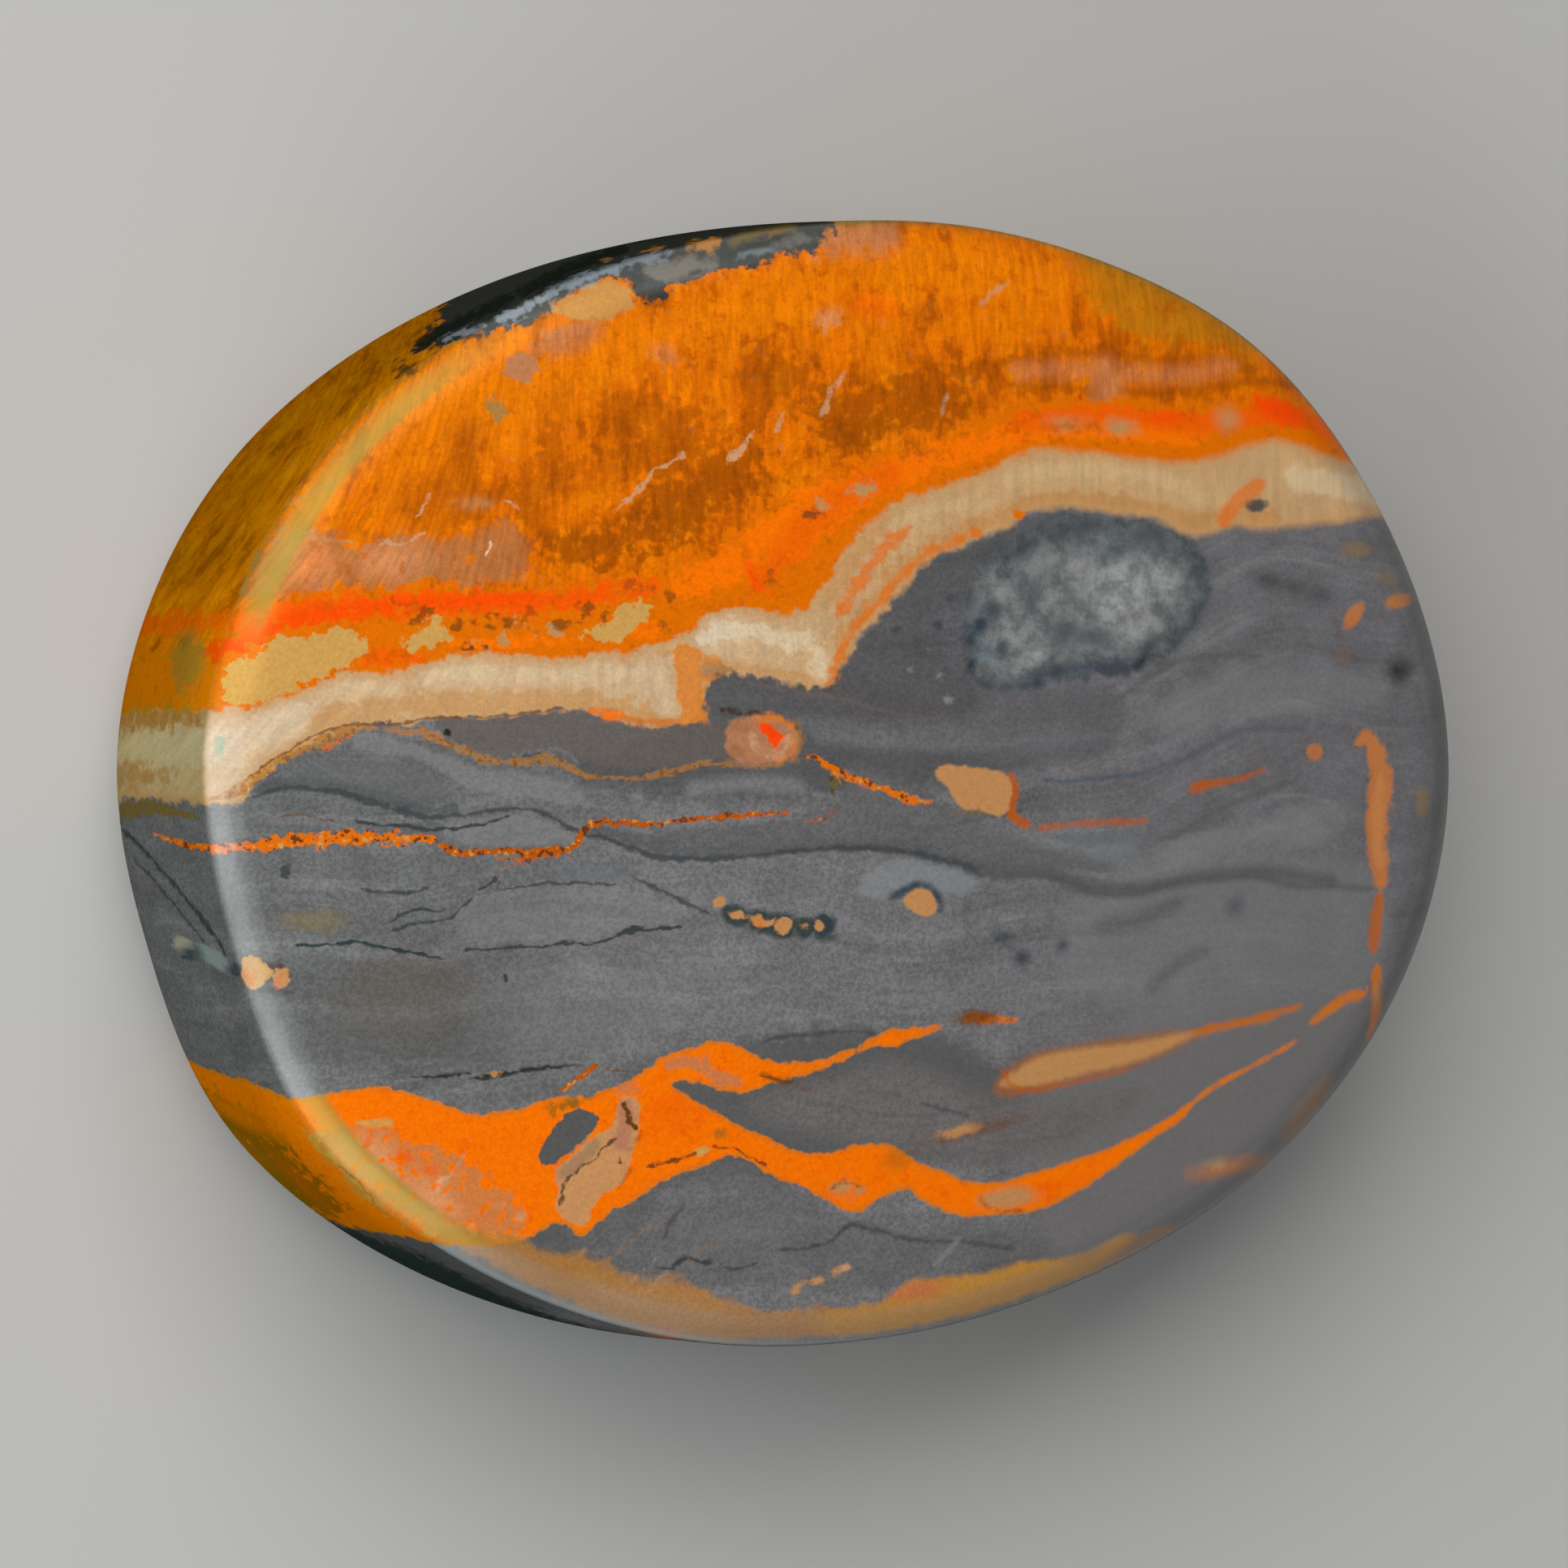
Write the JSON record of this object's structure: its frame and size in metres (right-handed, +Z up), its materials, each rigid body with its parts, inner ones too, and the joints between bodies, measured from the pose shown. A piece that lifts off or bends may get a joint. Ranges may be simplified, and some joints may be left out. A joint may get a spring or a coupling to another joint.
{
  "type": "bumblebee jasper palm stone",
  "caption": "Polished oval palm stone with a domed face, a soft bevel, near-upright sides and a flat base, in orange, cream and grey banded jasper.",
  "frame": {"origin": "on the flat base, under the middle of the stone's length and width", "axes": "+Z up from the base through the polished face, +X along the stone's long side"},
  "size_m": [0.0622, 0.0524, 0.0178],
  "materials": {
    "jasper": "polished"
  },
  "bodies": {
    "root": {"stone": "jasper"}
  },
  "joints": []
}
